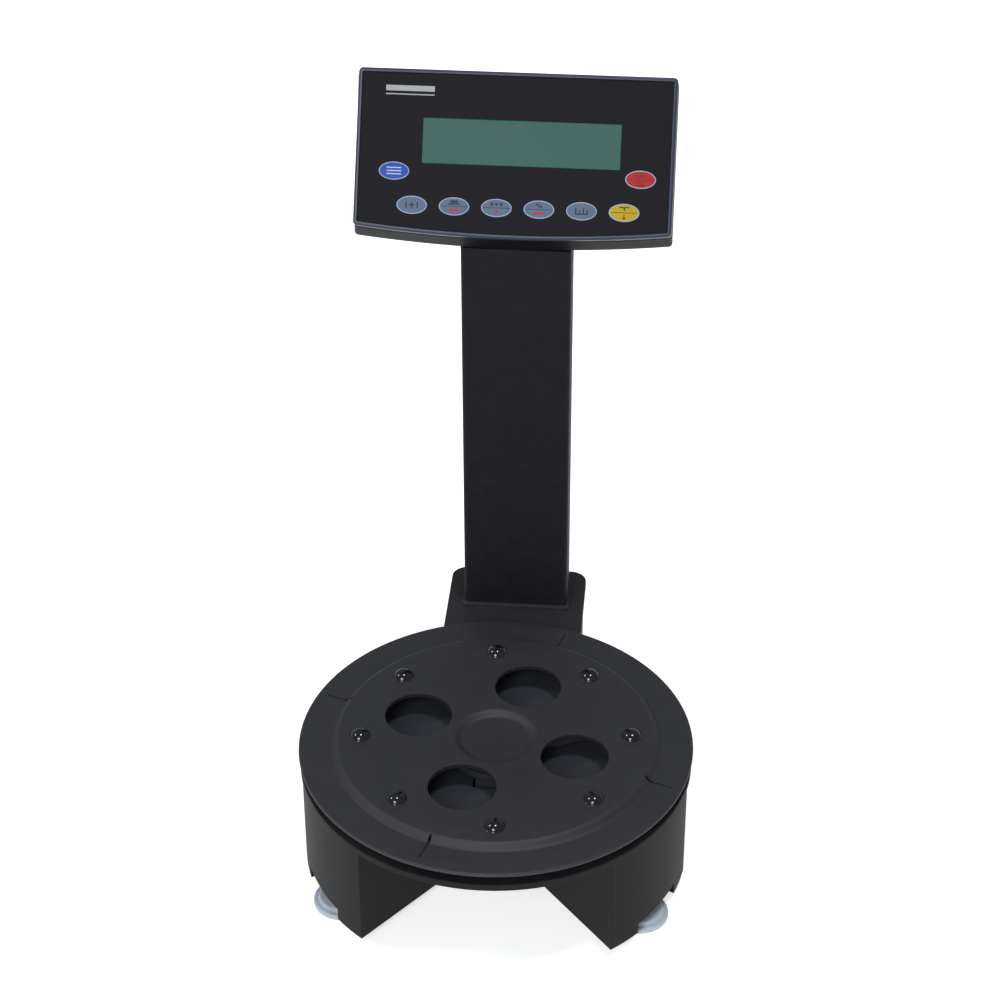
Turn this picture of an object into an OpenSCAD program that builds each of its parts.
// Round-pan bench weighing scale: a three-legged base, a lift-off pan on a load cell,
// and a display head that tilts on top of a rectangular column.
// Millimetres, +Z up. The bench is z = 0, and the operator stands on the -Y side.
// The origin is the middle of the footprint, so the pan's axis lies in front of it.

/* [Pan] */
// Outer diameter of the pan
pan_d = 233; // [225:1:240]
// Height of the pan's top face above the bench
pan_top = 90; // [88:1:96]
// Thickness of the pan's metal
pan_sheet = 2.5; // [2:0.1:3]
// Diameter of the raised, flat middle
plateau_d = 185; // [180:1:190]
// Diameter at the foot of the bevel
bevel_d = 197; // [194:1:202]
// Drop from the raised middle to the rim
pan_drop = 3.7; // [3:0.1:4.5]
// Angle at which the loose pan lies
pan_turn = 4.5; // [0:0.5:10]
// Diameter of the four finger holes
hole_d = 40; // [36:1:42]
// Circle through the centres of the finger holes
hole_pcd = 100; // [96:1:104]
// Outer diameter of the dish in the middle
dish_d = 50.5; // [46:0.5:52]
// Diameter of the dish's flat floor
dish_floor_d = 39; // [36:1:42]
// Depth of the dish
dish_depth = 3; // [2:0.1:3.5]
// Diameter of the eight rubber bumpers
bumper_d = 12; // [10:0.5:14]
// Height of the bumpers above the pan
bumper_h = 4; // [3:0.1:4.5]
// Circle through the centres of the bumpers
bumper_pcd = 160; // [156:1:164]

/* [Base] */
// Diameter of the base's top rim
base_d = 231.5; // [229:0.5:233]
// Height of the top rim above the bench
base_top = 77.5; // [76:0.5:78]
// Thickness of the top rim
rim_t = 4; // [3:0.1:4]
// Diameter across the curved outer walls of the legs
leg_d = 230; // [226:0.5:231]
// Angle that each front leg spans
leg_angle = 42; // [38:1:44]
// Diameter of the hub where the legs meet
hub_d = 86; // [84:1:96]
// Wall thickness of the casting
wall = 3; // [2.5:0.1:3.2]
// Gap between the lower edge of the base and the bench
skirt_gap = 7; // [6.5:0.1:8]
// Diameter of the sunk tray under the pan
tray_d = 202; // [200:1:206]
// Depth of that tray below the top rim
tray_depth = 5.5; // [5:0.1:6]
// Width of the rear leg
platform_w = 84; // [82:1:85]
// Distance from the pan's axis to the back of the rear leg
platform_reach = 177.5; // [177:0.5:180]
// Radius of the rear corners
platform_r = 10; // [8:1:14]
// Width of the plate on top of the rear leg
deck_w = 86.4; // [86:0.2:90]
// Distance from the pan's axis to the back of that plate
deck_reach = 184; // [181:0.5:186]

/* [Feet] */
// Diameter of the foot pads
foot_d = 34; // [33:0.5:38]
// Distance from the pan's axis to each front foot
foot_reach = 102; // [100:0.5:103]
// Distance from the pan's axis to the rear foot
rear_foot_reach = 125; // [122:1:128]
// Diameter of the threaded foot studs
stud_d = 8; // [7:1:8]

/* [Column] */
// Width of the column
column_w = 65; // [62:1:70]
// Depth of the column
column_d = 28; // [27:0.5:30]
// Distance from the pan's axis to the column's front face
column_reach = 145; // [144:0.5:146]
// Height of the column's upper end above the bench
column_top = 336; // [330:1:336]
// Wall thickness of the column
column_wall = 2; // [1.5:0.1:2.5]

/* [Head] */
// Width of the display head
head_w = 182.5; // [178:0.5:184]
// Height of the display head along its face
head_h = 95; // [92:1:98]
// Lean of the face from the vertical
head_tilt = 33; // [30:1:36]
// Distance from the pan's axis to the lower edge of the face
head_reach = 120; // [118:0.5:120]
// Height of the lower edge of the face above the bench
head_low = 356.9; // [356:0.1:362]
// How far the middle of the lower edge hangs below its corners
head_arch = 5; // [3:0.1:6]
// Depth of the case at its lower edge
case_low = 30; // [28:0.5:30]
// Depth of the case at its upper edge
case_high = 18; // [17:0.5:20]
// Width of the raised edge around the face
edge_w = 2.4; // [1.5:0.1:2.5]
// Width of the display window
lcd_w = 113.4; // [110:0.1:116]
// Height of the display window
lcd_h = 25.9; // [24:0.1:28]
// Width of a key
key_w = 17.6; // [16:0.1:19]
// Height of a key
key_h = 10.4; // [9:0.1:12]
// Distance between two keys in the lower row
key_pitch = 24.3; // [23:0.1:25]
// Travel of a key
key_travel = 0.4; // [0.3:0.05:0.4]

/* [Hidden] */
$fn = 96;
eps = 0.01;
pan_r = pan_d / 2;
leg_r = leg_d / 2;
hub_r = hub_d / 2;
tray_r = tray_d / 2;
tray_floor = base_top - tray_depth;
roof = tray_floor - wall;
rim_under = base_top - rim_t;

// Heights of the weighing parts.
cell_low = 36;
cell_high = 62;
carrier_low = 78;
carrier_high = 82;
pan_under = pan_top - pan_sheet;

// The head's own axes are x, depth behind the face, and height up the face.
wedge = atan((case_low - case_high) / head_h);
pivot_depth = 40.4;
pivot_rise = 20.4;
pivot_gap = (pivot_depth - case_low) * cos(wedge) + pivot_rise * sin(wedge);
pivot_y = head_reach + pivot_depth * cos(head_tilt) + pivot_rise * sin(head_tilt);
pivot_z = head_low - pivot_depth * sin(head_tilt) + pivot_rise * cos(head_tilt);
arch_r = (pow(head_w / 2, 2) + pow(head_arch, 2)) / (2 * head_arch);
side_flare = 1.6;
low_flare = 3.6;
top_flare = 0.3;
// The outline is set a little to the left of the column, and the back of the case a little more.
face_x = -0.8;
back_x = -2.3;
case_wall = 2.2;
corner_r = 2.5;
bezel_depth = 8;
panel_front = 1;
panel_back = 3;
film_front = 0.5;
board_front = 10;
board_back = 11.6;
lcd_x = 2.9;
lcd_v = 54.5;
side_key_v = 36.6;
row_v = 17.5;
row_x = -58.5;

// The footprint runs from the pan's front edge to the upper rear edge of the head.
head_rear_y = head_reach + (head_h + top_flare) / cos(wedge) * sin(head_tilt - wedge)
    + case_low * cos(head_tilt);
pan_y = -(head_rear_y - pan_r) / 2;

column_y = column_reach + column_d / 2;
front_feet = [211, 331];
rear_foot = [0, rear_foot_reach];
foot_spots = [
    for (a = front_feet) [foot_reach * cos(a), foot_reach * sin(a)],
    rear_foot
];
cover_spots = [
    for (a = front_feet) [72 * cos(a), 72 * sin(a)],
    [-30, 20],
    [30, 20],
    [-32, 160],
    [32, 160]
];
column_screw_spots = [[-22, 153], [22, 153], [-22, 165], [22, 165]];
cell_bolt_spots = [77, 93];
stem_bolt_spots = [-20.5, -9.5];
stem_y = -15;
head_screw_spots = [[-83, 86], [83, 86], [-83, 12], [83, 12]];
display_screw_spots = [[-73, 60], [74, 60], [-73, 21], [74.5, 23]];
main_screw_spots = [[-30, 24], [30, 24], [-30, 58], [30, 58]];
main_board_y = 168;
inlet_spot = [-22, 40];
port_spot = [12, 40];
lead_x = -24;
lead_y = 162;
lead_end_v = 17.5;

// Centres of the keys on the face, as x and height up the face.
menu_spot = [-69.5, side_key_v];
power_spot = [71.5, side_key_v];
row_spots = [for (i = [0:5]) [row_x + i * key_pitch, row_v]];
key_spots = concat([menu_spot, power_spot], row_spots);

// Routes of the held cables.
signal_r = 2.2;
cell_cable_r = 1.5;
signal_route = [
    [0, 168, 57], [0, 165, 57], [0, 161.6, 58.6], [0, 159.6, 62], [0, 159, 68], [0, 159, 120],
    [0, 159, 200], [0, 159, 270], [-2, 159, 284], [-8, 160, 296], [-16, 161, 306],
    [-22, 162, 314], [-24, 162, 322], [-24, 162, 332], [-24, 162, 340]
];
cell_cable_route = [
    [6, 100, 50], [6, 103, 50], [9, 107.5, 49.6], [16, 115, 48.4], [20.5, 126, 47],
    [21, 140, 46], [19, 150, 46], [16, 158, 46], [14, 163, 46], [14, 168, 46]
];
lead_route = [
    [lead_x, 162, 340], [lead_x, 162, 344], [lead_x, 161.5, 348], [lead_x, 160.3, 351.4],
    [lead_x, 158.4, 354.2],
    back_point(lead_x, 3),
    back_point(lead_x, -4.5),
    head_point(lead_x, board_back + 6, lead_end_v),
    head_point(lead_x, board_back + 0.1, lead_end_v)
];

black = [0.19, 0.19, 0.20];
pan_black = [0.21, 0.21, 0.21];
column_black = [0.14, 0.14, 0.16];
slate = [0.22, 0.25, 0.33];
film_black = [0.17, 0.17, 0.19];
lcd_green = [0.31, 0.44, 0.41];
rubber = [0.05, 0.05, 0.06];
pad_white = [0.78, 0.82, 0.87];
steel = [0.62, 0.63, 0.65];
aluminium = [0.76, 0.77, 0.78];
brass = [0.75, 0.60, 0.30];
board_green = [0.08, 0.32, 0.18];
key_blue = [0.23, 0.38, 0.74];
key_grey = [0.47, 0.56, 0.65];
key_red = [0.80, 0.16, 0.20];
key_yellow = [0.92, 0.84, 0.14];

// ---- Shared functions ----

function arc(cx, cy, r, from, to, n) =
    [for (i = [0:n]) let (a = from + (to - from) * i / n) [cx + r * cos(a), cy + r * sin(a)]];

// A smooth step from one radius and height to another.
function soft_step(r0, z0, r1, z1, n) =
    [for (i = [0:n]) [r0 + (r1 - r0) * i / n, z0 + (z1 - z0) * (1 - cos(180 * i / n)) / 2]];

function ellipse(w, h, n = 40) = [for (i = [0:n - 1]) [w / 2 * cos(360 * i / n), h / 2 * sin(360 * i / n)]];

// Depth of the case's back at a given height up the face.
function rear_depth(v) = case_low - v * tan(wedge);

// A point at a distance outside the case's back, on the line from the hinge that meets it squarely.
function back_point(x, out) = head_point(
    x,
    pivot_depth + (out - pivot_gap) * cos(wedge),
    pivot_rise + (out - pivot_gap) * sin(wedge)
);

// A point given on the head's own axes, in the pan's axes.
function head_point(x, depth, v) = [
    x,
    head_reach + depth * cos(head_tilt) + v * sin(head_tilt),
    head_low - depth * sin(head_tilt) + v * cos(head_tilt)
];

// Outline of the face, grown or shrunk at its sides, top and arched lower edge, about a middle at mx.
function face_outline(side, top, low, mx = face_x) =
    let (
        hw = head_w / 2 + side,
        ar = arch_r + low,
        cx = hw - corner_r,
        lean = asin(cx / (ar - corner_r)),
        cv = arch_r - (ar - corner_r) * cos(lean),
        tv = head_h + top - corner_r
    )
    concat(
        arc(mx, arch_r, ar, -90 - lean, -90 + lean, 24),
        arc(mx + cx, cv, corner_r, -90 + lean, 0, 5),
        arc(mx + cx, tv, corner_r, 0, 90, 5),
        arc(mx - cx, tv, corner_r, 90, 180, 5),
        arc(mx - cx, cv, corner_r, 180, 270 - lean, 5)
    );

// ---- Shared modules ----

module on_pan_axis() {
    translate([0, pan_y, 0]) children();
}

// Places something built on the head's own axes.
module on_head() {
    on_pan_axis() translate([0, head_reach, head_low]) rotate([-head_tilt, 0, 0]) children();
}

// Axes at the tilt pivot, with +Y square to the back of the case.
module on_pivot() {
    translate([0, pivot_depth, pivot_rise]) rotate([wedge, 0, 0]) children();
}

// Turns an outline on the face into a plate between two depths.
module plate(from, to) {
    translate([0, to, 0]) rotate([90, 0, 0]) linear_extrude(to - from) children();
}

// A rod between two depths, at a place on the face.
module face_rod(spot, r, from, to) {
    translate([spot[0], from, spot[1]]) rotate([-90, 0, 0]) cylinder(r = r, h = to - from);
}

module rod(x, y, r, from, to) {
    translate([x, y, from]) cylinder(r = r, h = to - from);
}

module block(low, high) {
    translate(low) cube(high - low);
}

// Round tube swept along a route of points, as one closed solid.
module cable(route, r, sides = 8) {
    n = len(route);
    rings = [
        for (i = [0:n - 1])
            let (
                t = route[min(i + 1, n - 1)] - route[max(i - 1, 0)],
                dir = t / norm(t),
                u0 = cross(dir, abs(dir[0]) < 0.9 ? [1, 0, 0] : [0, 1, 0]),
                u = u0 / norm(u0),
                v = cross(dir, u)
            )
            for (k = [0:sides - 1])
                route[i] + r * (cos(360 * k / sides) * u + sin(360 * k / sides) * v)
    ];
    walls = [
        for (i = [0:n - 2])
            for (k = [0:sides - 1])
                let (a = i * sides + k, b = i * sides + (k + 1) % sides)
                for (f = [[a, b, a + sides], [b, b + sides, a + sides]]) f
    ];
    near_end = [[for (k = [0:sides - 1]) sides - 1 - k]];
    far_end = [[for (k = [0:sides - 1]) (n - 1) * sides + k]];
    on_pan_axis() polyhedron(points = rings, faces = concat(near_end, walls, far_end));
}

// ---- Base ----

module leg_wedge(angle, inset) {
    half = leg_angle / 2;
    reach = 2 * leg_r;
    rotate(angle) translate([inset / sin(half), 0])
        polygon([[0, 0], [reach * cos(half), -reach * sin(half)], [reach * cos(half), reach * sin(half)]]);
}

module rear_leg_plan(inset) {
    x = platform_w / 2 - inset;
    y = platform_reach - inset;
    r = platform_r - inset;
    translate([-x, 0]) square([2 * x, y - r]);
    translate([-x + r, 0]) square([2 * (x - r), y]);
    for (s = [-1, 1]) translate([s * (x - r), y - r]) circle(r = r);
}

// Plan of the plate on top of the rear leg, which stands out past the leg's walls.
module deck_plan() {
    x = deck_w / 2 - platform_r;
    y = deck_reach - platform_r;
    translate([-deck_w / 2, 0]) square([deck_w, y]);
    translate([-x, 0]) square([2 * x, deck_reach]);
    for (s = [-1, 1]) translate([s * x, y]) circle(r = platform_r);
}

// Plan of the hub and the three legs, drawn in from the outside by inset.
module base_plan(inset) {
    circle(r = hub_r - inset);
    intersection() {
        circle(r = leg_r - inset);
        union() for (a = front_feet) leg_wedge(a, inset);
    }
    rear_leg_plan(inset);
}

module base_body() {
    difference() {
        union() {
            translate([0, 0, skirt_gap]) linear_extrude(base_top - skirt_gap) base_plan(0);
            rod(0, 0, base_d / 2, rim_under, base_top);
            translate([0, 0, rim_under]) linear_extrude(rim_t) deck_plan();
            rod(0, 0, tray_r + wall, roof, base_top);
        }
        rod(0, 0, tray_r, tray_floor, base_top + 1);
        translate([0, 0, skirt_gap - 1]) linear_extrude(roof - skirt_gap + 1) base_plan(wall);
        translate([0, 0, roof - 1]) linear_extrude(rim_under - roof + 1) difference() {
            base_plan(wall);
            circle(r = tray_r + wall);
        }
        // Recesses in the outer walls, over the front feet.
        for (a = front_feet) rotate(a)
            block([leg_r - 8, -20, skirt_gap - 1], [leg_r + 8, 20, skirt_gap + 8]);
    }
}

module base_bosses() {
    for (s = foot_spots) rod(s[0], s[1], 9, 16, tray_floor - 1);
    rod(rear_foot[0], rear_foot[1], 9, 60, base_top - 1);
    for (s = cover_spots) rod(s[0], s[1], 4.5, 11, s[1] > 100 ? rim_under + 1 : roof + 1);
    block([-14, 66, cell_high], [14, 106, roof + 1]);
    for (s = main_screw_spots) translate([s[0], main_board_y + 1.6, s[1]]) rotate([-90, 0, 0])
        cylinder(r = 3, h = platform_reach - wall - main_board_y);
}

module base_housing() {
    color(black) on_pan_axis() difference() {
        union() {
            base_body();
            base_bosses();
        }
        for (s = foot_spots) {
            rod(s[0], s[1], 5.5, 15, 34);
            rod(s[0], s[1], 4.6, 33, 56);
        }
        for (s = cover_spots) rod(s[0], s[1], 1.6, 10, 26);
        for (y = cell_bolt_spots) rod(0, y, 3.05, cell_high - 1, roof + 1.4);
        // Opening for the stem, with room for it to move.
        block([-11.5, stem_y - 11.5, roof - 1], [11.5, stem_y + 11.5, tray_floor + 1]);
        rod(0, column_y, 8, rim_under - 1, base_top + 1);
        for (s = column_screw_spots) rod(s[0], s[1], 2.75, rim_under - 1, base_top + 1);
        for (s = main_screw_spots) face_rod(s, 1.1, main_board_y, platform_reach - wall);
        face_rod(inlet_spot, 5.6, platform_reach - wall - 1, platform_reach + 1);
        block([port_spot[0] - 10, platform_reach - wall - 1, port_spot[1] - 5.5],
            [port_spot[0] + 10, platform_reach + 1, port_spot[1] + 5.5]);
    }
}

module bottom_cover() {
    color(black) on_pan_axis() difference() {
        translate([0, 0, 9]) linear_extrude(2) base_plan(wall + 0.4);
        for (s = foot_spots) rod(s[0], s[1], 6.5, 8, 12);
        for (s = cover_spots) rod(s[0], s[1], 1.75, 8, 12);
        rod(0, 2, 3.1, 8, 12);
    }
}

module cover_screws() {
    color(steel) on_pan_axis() for (s = cover_spots) {
        rod(s[0], s[1], 3, 7.4, 9);
        rod(s[0], s[1], 1.5, 9 - eps, 22);
    }
}

module main_board() {
    color(board_green) on_pan_axis() difference() {
        block([-34, main_board_y, 20], [34, main_board_y + 1.6, 62]);
        for (s = main_screw_spots) face_rod(s, 1.2, main_board_y - 1, main_board_y + 3);
    }
}

module main_board_screws() {
    color(steel) on_pan_axis() for (s = main_screw_spots) {
        face_rod(s, 2, main_board_y - 1.4, main_board_y);
        face_rod(s, 1.05, main_board_y - eps, main_board_y + 5);
    }
}

module dc_inlet() {
    y = platform_reach;
    color(rubber) on_pan_axis() difference() {
        union() {
            face_rod(inlet_spot, 5.5, main_board_y + 1.6, y);
            face_rod(inlet_spot, 7, y, y + 1.2);
        }
        difference() {
            face_rod(inlet_spot, 3.2, y - 7.5, y + 2);
            face_rod(inlet_spot, 1, y - 8, y);
        }
    }
}

// Nine-pin data socket with its two jack posts.
module data_port() {
    x = port_spot[0];
    z = port_spot[1];
    y = platform_reach;
    color(steel) on_pan_axis() difference() {
        union() {
            block([x - 9.6, main_board_y + 1.6, z - 5], [x + 9.6, y + 5.5, z + 5]);
            block([x - 15.5, y, z - 6.3], [x + 15.5, y + 0.8, z + 6.3]);
            for (s = [-1, 1]) translate([x + s * 12.5, y + 0.4, z]) rotate([-90, 0, 0])
                cylinder(r = 2.4, h = 5, $fn = 6);
        }
        block([x - 8.4, y + 1, z - 3.8], [x + 8.4, y + 6, z + 3.8]);
    }
}

// ---- Levelling feet ----

module foot_inserts() {
    color(brass) on_pan_axis() for (s = foot_spots) difference() {
        rod(s[0], s[1], 5.45, 17, 33);
        rod(s[0], s[1], stud_d / 2 + 0.05, 16, 34);
    }
}

module foot_stud(spot) {
    color(steel) on_pan_axis() {
        rod(spot[0], spot[1], stud_d / 2, 2.5, 45);
        translate([spot[0], spot[1], 45 - eps]) cylinder(r1 = stud_d / 2, r2 = stud_d / 2 - 1, h = 1);
    }
}

module foot_pad(spot) {
    r = foot_d / 2;
    color(pad_white) on_pan_axis() translate([spot[0], spot[1], 0]) rotate_extrude()
        polygon(concat(
            [[0, 0]],
            arc(r - 0.8, 0.8, 0.8, -90, 0, 4),
            arc(r - 1.4, 2.4, 1.4, 0, 90, 5),
            [[14.4, 3.9]],
            arc(12.6, 5, 1, 0, 90, 4),
            [[stud_d / 2 + 0.05, 6], [stud_d / 2 + 0.05, 2.4], [0, 2.4]]
        ));
}

module foot_left_stud() {
    foot_stud(foot_spots[0]);
}

module foot_left_pad() {
    foot_pad(foot_spots[0]);
}

module foot_right_stud() {
    foot_stud(foot_spots[1]);
}

module foot_right_pad() {
    foot_pad(foot_spots[1]);
}

module foot_rear_stud() {
    foot_stud(foot_spots[2]);
}

module foot_rear_pad() {
    foot_pad(foot_spots[2]);
}

// ---- Weighing parts ----

// Bending beam: the rear end is fixed, the front end carries the pan.
module load_cell() {
    color(aluminium) on_pan_axis() difference() {
        block([-11, -30, cell_low], [11, 100, cell_high]);
        for (y = [22, 48]) translate([-12, y, 49]) rotate([0, 90, 0]) cylinder(r = 9.5, h = 24);
        block([-12, 22, 46], [12, 48, 52]);
        for (y = cell_bolt_spots) rod(0, y, 3.2, cell_low - 1, cell_high + 1);
        for (y = stem_bolt_spots) rod(0, y, 2.7, cell_low - 1, cell_high + 1);
    }
}

module cell_bolts() {
    color(steel) on_pan_axis() for (y = cell_bolt_spots) {
        rod(0, y, 5, cell_low - 6, cell_low);
        rod(0, y, 3, cell_low - eps, roof);
    }
}

// Stop screw and its lock nut, which catch the beam just before it is overloaded.
module overload_stop() {
    color(steel) on_pan_axis() {
        rod(0, 2, 3, 9, cell_low - 0.6);
        translate([0, 2, 11]) cylinder(r = 5.5, h = 5, $fn = 6);
    }
}

module cell_stem() {
    color(column_black) on_pan_axis() difference() {
        block([-10, stem_y - 10, cell_high], [10, stem_y + 10, carrier_low]);
        for (y = stem_bolt_spots) rod(0, y, 2.55, cell_high - 1, 71);
        for (x = [-6.5, 6.5]) rod(x, stem_y, 2.05, 69, carrier_low + 1);
    }
}

module stem_bolts() {
    color(steel) on_pan_axis() for (y = stem_bolt_spots) {
        rod(0, y, 4.25, cell_low - 5, cell_low);
        rod(0, y, 2.5, cell_low - eps, 70);
    }
}

// Four arms that hold the pan from below.
module pan_carrier() {
    color(column_black) on_pan_axis() difference() {
        union() {
            rod(0, 0, 27, carrier_low, carrier_high);
            for (a = [22.5:90:360]) rotate(a) {
                block([0, -7, carrier_low], [81, 7, carrier_high]);
                rod(81, 0, 7, carrier_low, carrier_high);
            }
        }
        for (x = [-6.5, 6.5]) {
            rod(x, stem_y, 2.1, carrier_low - 1, carrier_high + 1);
            rod(x, stem_y, 3.9, carrier_high - 2, carrier_high + 1);
        }
    }
}

module carrier_screws() {
    color(steel) on_pan_axis() for (x = [-6.5, 6.5]) {
        rod(x, stem_y, 3.8, carrier_high - 2, carrier_high);
        rod(x, stem_y, 2, 70, carrier_high - 2 + eps);
    }
}

module carrier_pads() {
    color(rubber) on_pan_axis() for (a = [22.5:90:360]) rotate(a) rod(78, 0, 5, carrier_high, pan_under);
}

// ---- Pan ----

// Half section of the pan: dish, raised middle, bevel and rolled rim.
module pan_section() {
    rim_top = pan_top - pan_drop;
    edge_r = pan_sheet / 2;
    dish_top = pan_top - dish_depth;
    polygon(concat(
        [[0, dish_top]],
        soft_step(dish_floor_d / 2, dish_top, dish_d / 2, pan_top, 8),
        soft_step(plateau_d / 2, pan_top, bevel_d / 2, rim_top, 10),
        arc(pan_r - edge_r, rim_top - edge_r, edge_r, 90, -90, 8),
        soft_step(bevel_d / 2 - 1, rim_top - pan_sheet, plateau_d / 2 - 1, pan_under, 10),
        soft_step(dish_d / 2 + 1, pan_under, dish_floor_d / 2 + 1, dish_top - pan_sheet, 8),
        [[0, dish_top - pan_sheet]]
    ));
}

module pan() {
    rim_top = pan_top - pan_drop;
    color(pan_black) on_pan_axis() rotate(pan_turn) difference() {
        rotate_extrude() pan_section();
        for (a = [67.5:90:360]) rotate(a) {
            rod(hole_pcd / 2, 0, hole_d / 2, pan_under - 4, pan_top + 1);
            // A gap in the bevel, and a fine slit that runs on across the rim.
            block([plateau_d / 2 + 1.2, -0.9, rim_top - 1], [bevel_d / 2, 0.9, pan_top + 1]);
            block([bevel_d / 2 - eps, -0.4, rim_top - 1], [pan_r - 6, 0.4, rim_top + 1]);
        }
        for (a = [0:45:315]) rotate(a) rod(bumper_pcd / 2, 0, 2.9, pan_under - 2, pan_top + 1);
    }
}

// Rubber bumpers: a dome, a stem through the pan and a collar under it.
module pan_bumpers() {
    r = bumper_d / 2;
    ball = (r * r + bumper_h * bumper_h) / (2 * bumper_h);
    color(rubber) on_pan_axis() rotate(pan_turn) for (a = [0:45:315]) rotate(a)
        translate([bumper_pcd / 2, 0, 0]) {
            intersection() {
                translate([0, 0, pan_top + bumper_h - ball]) sphere(r = ball);
                rod(0, 0, r + 1, pan_top, pan_top + bumper_h + 1);
            }
            rod(0, 0, 2.85, pan_under - 1, pan_top + eps);
            rod(0, 0, 4, pan_under - 2, pan_under);
        }
}

// ---- Column ----

module rounded_plan(w, d, r) {
    square([w - 2 * r, d], center = true);
    square([w, d - 2 * r], center = true);
    for (x = [-1, 1], y = [-1, 1]) translate([x * (w / 2 - r), y * (d / 2 - r)]) circle(r = r);
}

module column_gasket() {
    color(slate) on_pan_axis() difference() {
        translate([0, column_y - 1, base_top]) linear_extrude(1.5)
            rounded_plan(column_w + 2.6, column_d + 4, 2.5);
        rod(0, column_y, 8, base_top - 1, base_top + 2);
        for (s = column_screw_spots) rod(s[0], s[1], 2.75, base_top - 1, base_top + 2);
    }
}

module column() {
    back = column_reach + column_d;
    color(column_black) on_pan_axis() difference() {
        translate([0, column_y, base_top + 1.5]) linear_extrude(column_top - base_top - 1.5) difference() {
            rounded_plan(column_w, column_d, 2.5);
            rounded_plan(column_w - 2 * column_wall, column_d - 2 * column_wall, 0.5);
        }
        for (x = [-12, 12]) face_rod([x, 88], 2.1, back - 5, back + 1);
        for (x = [-15, 15]) face_rod([x, column_top - 5], 2.1, back - 5, back + 1);
    }
}

// Block inside the lower end of the column, which the column screws pull down.
module column_foot() {
    back = column_reach + column_d - column_wall;
    low = base_top + 1.5;
    color(aluminium) on_pan_axis() difference() {
        translate([0, column_y, low]) linear_extrude(18)
            square([column_w - 2 * column_wall - 0.4, column_d - 2 * column_wall - 0.4], center = true);
        rod(0, column_y, 7, low - 1, low + 19);
        for (s = column_screw_spots) rod(s[0], s[1], 2.55, low - 1, low + 15);
        for (x = [-12, 12]) face_rod([x, 88], 2.05, back - 10, back + 1);
    }
}

module column_screws() {
    color(steel) on_pan_axis() for (s = column_screw_spots) {
        rod(s[0], s[1], 4.5, rim_under - 3.5, rim_under);
        rod(s[0], s[1], 2.5, rim_under - eps, 92);
    }
}

// Screws through the back of the column, at its foot and at the tilt bracket.
module column_rear_screws() {
    back = column_reach + column_d;
    color(steel) on_pan_axis() for (s = [[-12, 88], [12, 88], [-15, column_top - 5], [15, column_top - 5]]) {
        face_rod(s, 2, back - 10, back + eps);
        face_rod(s, 3.8, back, back + 1.6);
    }
}

// Plug in the column's upper end with the two ears of the tilt hinge.
module tilt_bracket() {
    back = column_reach + column_d - column_wall;
    color(column_black) on_pan_axis() difference() {
        union() {
            translate([0, column_y, column_top - 10]) linear_extrude(10 + eps)
                square([column_w - 2 * column_wall - 0.4, column_d - 2 * column_wall - 0.4], center = true);
            translate([0, column_y, column_top]) linear_extrude(2.5)
                rounded_plan(column_w - 2, column_d - 2, 2);
            for (x = [-14, 10]) {
                block([x, pivot_y - 8, column_top + 2], [x + 4, pivot_y + 8, pivot_z]);
                translate([x, pivot_y, pivot_z]) rotate([0, 90, 0]) cylinder(r = 8, h = 4);
            }
        }
        translate([-15, pivot_y, pivot_z]) rotate([0, 90, 0]) cylinder(r = 3.05, h = 30);
        rod(lead_x, lead_y, 4, column_top - 11, column_top + 3);
        for (x = [-15, 15]) face_rod([x, column_top - 5], 2.05, back - 10, back + 1);
    }
}

module tilt_bolt() {
    color(steel) on_pan_axis() translate([0, pivot_y, pivot_z]) rotate([0, 90, 0]) {
        translate([0, 0, -18]) cylinder(r = 5, h = 4);
        translate([0, 0, -14 - eps]) cylinder(r = 3, h = 37);
    }
}

module tilt_knob() {
    color(rubber) on_pan_axis() translate([0, pivot_y, pivot_z]) rotate([0, 90, 0]) difference() {
        union() {
            translate([0, 0, 14]) cylinder(r = 6, h = 2);
            translate([0, 0, 16]) cylinder(r = 9, h = 9);
        }
        for (a = [0:30:330]) rotate(a) translate([9.8, 0, 15]) cylinder(r = 1.4, h = 11);
        translate([0, 0, 13]) cylinder(r = 3.05, h = 10.5);
    }
}

module column_grommet() {
    color(rubber) on_pan_axis() difference() {
        union() {
            rod(lead_x, lead_y, 3.95, column_top - 3, column_top + 2.5 + eps);
            rod(lead_x, lead_y, 5.4, column_top + 2.5, column_top + 4);
        }
        rod(lead_x, lead_y, 2.35, column_top - 4, column_top + 5);
    }
}

// ---- Cables that the object holds all the way ----

module cell_cable() {
    color(rubber) cable(cell_cable_route, cell_cable_r);
}

module signal_cable() {
    color(rubber) cable(signal_route, signal_r);
}

module head_lead() {
    color(rubber) cable(lead_route, signal_r);
}

// ---- Display head ----

module head_bracket() {
    color(column_black) on_head() on_pivot() difference() {
        union() {
            translate([-9.7, 0, 0]) rotate([0, 90, 0]) cylinder(r = 7.5, h = 19.4);
            block([-9.7, -pivot_gap, -6], [9.7, 0, 6]);
            block([-18, -pivot_gap, -8], [18, -pivot_gap + 2, 8]);
        }
        translate([-10, 0, 0]) rotate([0, 90, 0]) cylinder(r = 3.05, h = 20);
        for (x = [-14, 14]) face_rod([x, 0], 1.8, -pivot_gap - 1, -pivot_gap + 3);
    }
}

module head_bracket_screws() {
    color(steel) on_head() on_pivot() for (x = [-14, 14]) {
        face_rod([x, 0], 1.6, -pivot_gap - 5, -pivot_gap + 2 + eps);
        face_rod([x, 0], 2.8, -pivot_gap + 2, -pivot_gap + 3.4);
    }
}

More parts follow.
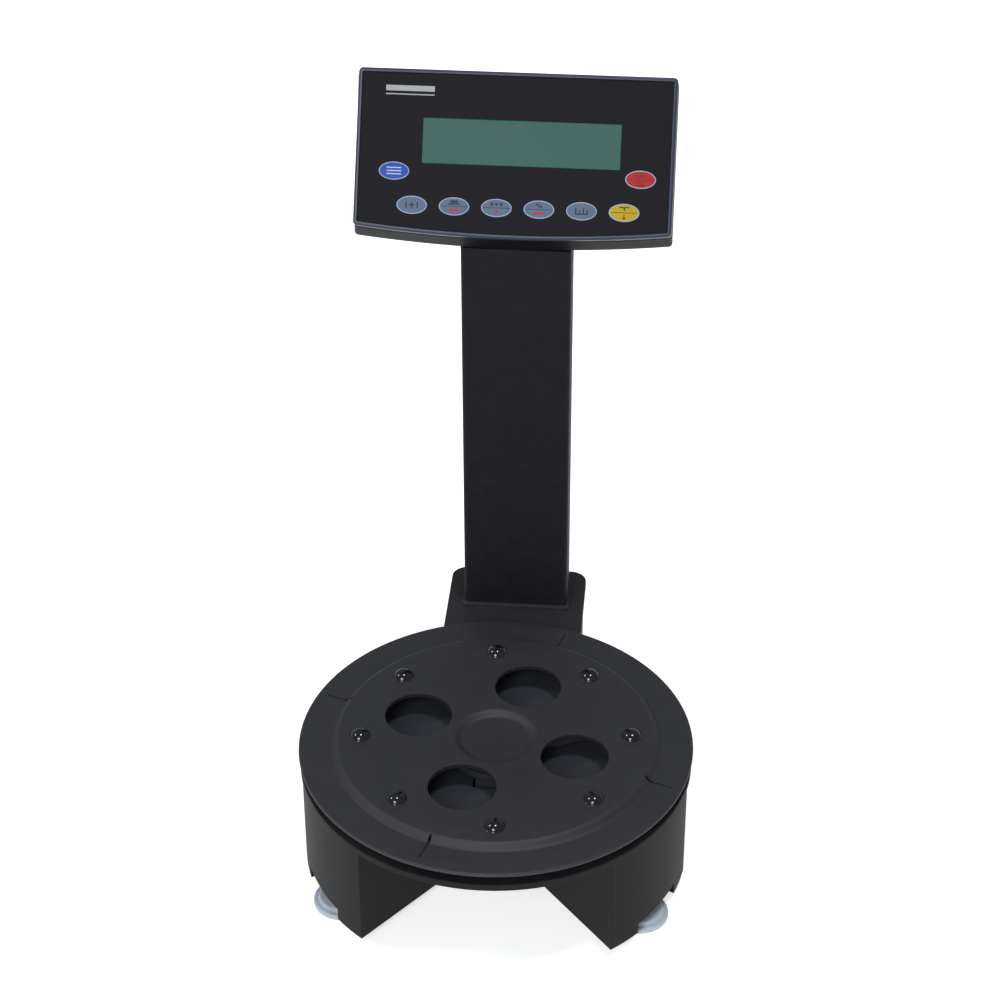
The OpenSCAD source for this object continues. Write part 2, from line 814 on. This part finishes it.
// Solid between the bezel's back and the sloping back of the case, drawn in by inset.
module case_block(inset) {
    hull() {
        plate(bezel_depth, bezel_depth + 0.1) polygon(face_outline(-inset, -inset, -inset));
        translate([0, case_low, 0]) rotate([wedge, 0, 0]) plate(-inset - 0.1, -inset)
            polygon(face_outline(side_flare - inset, top_flare - inset, low_flare - inset, back_x));
    }
}

module head_rear_shell() {
    color(black) on_head() difference() {
        union() {
            difference() {
                case_block(0);
                translate([0, -0.1, 0]) case_block(case_wall);
            }
            intersection() {
                case_block(0.1);
                union() for (s = head_screw_spots) face_rod(s, 3.8, bezel_depth, case_low);
            }
        }
        for (s = head_screw_spots) {
            face_rod(s, 1.7, bezel_depth - 1, case_low + 2);
            face_rod(s, 3, rear_depth(s[1]) - 2, case_low + 5);
        }
        on_pivot() face_rod([lead_x, 0], 4, -pivot_gap - 4, -pivot_gap + 1);
        on_pivot() for (x = [-14, 14]) face_rod([x, 0], 1.65, -pivot_gap - 4, -pivot_gap + 1);
    }
}

module key_hole(spot, grow, from, to) {
    translate([spot[0], 0, spot[1]]) plate(from, to) polygon(ellipse(key_w + 2 * grow, key_h + 2 * grow));
}

module lcd_opening(grow, from, to) {
    block([lcd_x - lcd_w / 2 - grow, from, lcd_v - lcd_h / 2 - grow],
        [lcd_x + lcd_w / 2 + grow, to, lcd_v + lcd_h / 2 + grow]);
}

module head_bezel() {
    color(slate) on_head() difference() {
        union() {
            difference() {
                plate(0, bezel_depth) polygon(face_outline(0, 0, 0));
                plate(panel_back, bezel_depth + 1) polygon(face_outline(-case_wall, -case_wall, -case_wall));
            }
            for (s = head_screw_spots) face_rod(s, 3.8, panel_back - eps, bezel_depth);
            for (s = display_screw_spots) face_rod(s, 2, panel_back - eps, board_front);
        }
        plate(-1, panel_front) polygon(face_outline(-edge_w, -edge_w, -edge_w));
        lcd_opening(0.1, 0, panel_back + 1);
        for (s = key_spots) key_hole(s, 0.35, 0, panel_back + 1);
        for (s = head_screw_spots) face_rod(s, 1.3, panel_back, bezel_depth + 1);
        for (s = display_screw_spots) face_rod(s, 0.9, panel_back + 1, board_front + 1);
    }
}

module head_screws() {
    color(steel) on_head() for (s = head_screw_spots) {
        face_rod(s, 1.25, panel_back + 0.5, rear_depth(s[1]) - 1.9);
        face_rod(s, 2.7, rear_depth(s[1]) - 2, rear_depth(s[1]) - 0.6);
    }
}

// Printed film that covers the panel inside the raised edge.
module face_film() {
    inset = edge_w + 0.05;
    color(film_black) on_head() difference() {
        plate(film_front, panel_front) polygon(face_outline(-inset, -inset, -inset));
        lcd_opening(0.05, 0, 2);
        for (s = key_spots) key_hole(s, 0.15, 0, 2);
    }
}

module lcd_window() {
    color(lcd_green) on_head() lcd_opening(0, film_front, panel_back);
}

module lcd_module() {
    color(steel) on_head()
        block([lcd_x - 60, panel_back + 0.1, lcd_v - 17], [lcd_x + 60, board_front, lcd_v + 17]);
}

module display_board() {
    color(board_green) on_head() difference() {
        block([-77.5, board_front, 9], [77.5, board_back, 89]);
        for (s = display_screw_spots) face_rod(s, 1, board_front - 1, board_back + 1);
    }
}

module display_board_screws() {
    color(steel) on_head() for (s = display_screw_spots) {
        face_rod(s, 0.85, board_front - 4, board_back + eps);
        face_rod(s, 1.8, board_back, board_back + 1.2);
    }
}

module key_switches() {
    color(rubber) on_head() for (s = key_spots) {
        face_rod(s, 1.6, panel_back + 0.15, 6.6);
        block([s[0] - 3, 6.5, s[1] - 3], [s[0] + 3, board_front, s[1] + 3]);
    }
}

module head_grommet() {
    color(rubber) on_head() on_pivot() difference() {
        union() {
            face_rod([lead_x, 0], 3.95, -pivot_gap - 3.5, -pivot_gap + eps);
            face_rod([lead_x, 0], 5.4, -pivot_gap, -pivot_gap + 1.5);
        }
        face_rod([lead_x, 0], 2.9, -pivot_gap - 5, -pivot_gap + 3);
    }
}

// A key: an oval cap that stands just proud of the film and slides straight in.
module key_cap(spot, tone) {
    color(tone) on_head() key_hole(spot, 0, film_front - 0.2, panel_back - 0.3);
}

module key_menu() {
    key_cap(menu_spot, key_blue);
}

module key_power() {
    key_cap(power_spot, key_red);
}

module key_calibrate() {
    key_cap(row_spots[0], key_grey);
}

module key_print() {
    key_cap(row_spots[1], key_grey);
}

module key_count() {
    key_cap(row_spots[2], key_grey);
}

module key_percent() {
    key_cap(row_spots[3], key_grey);
}

module key_units() {
    key_cap(row_spots[4], key_grey);
}

module key_tare() {
    key_cap(row_spots[5], key_yellow);
}

base_housing();
bottom_cover();
cover_screws();
foot_inserts();
foot_left_stud();
foot_left_pad();
foot_right_stud();
foot_right_pad();
foot_rear_stud();
foot_rear_pad();
load_cell();
cell_bolts();
overload_stop();
cell_stem();
stem_bolts();
pan_carrier();
carrier_screws();
carrier_pads();
pan();
pan_bumpers();
column_gasket();
column();
column_foot();
column_screws();
column_rear_screws();
tilt_bracket();
tilt_bolt();
tilt_knob();
column_grommet();
main_board();
main_board_screws();
dc_inlet();
data_port();
cell_cable();
signal_cable();
head_bracket();
head_bracket_screws();
head_rear_shell();
head_bezel();
head_screws();
face_film();
lcd_window();
lcd_module();
display_board();
display_board_screws();
key_switches();
head_grommet();
head_lead();
key_menu();
key_power();
key_calibrate();
key_print();
key_count();
key_percent();
key_units();
key_tare();
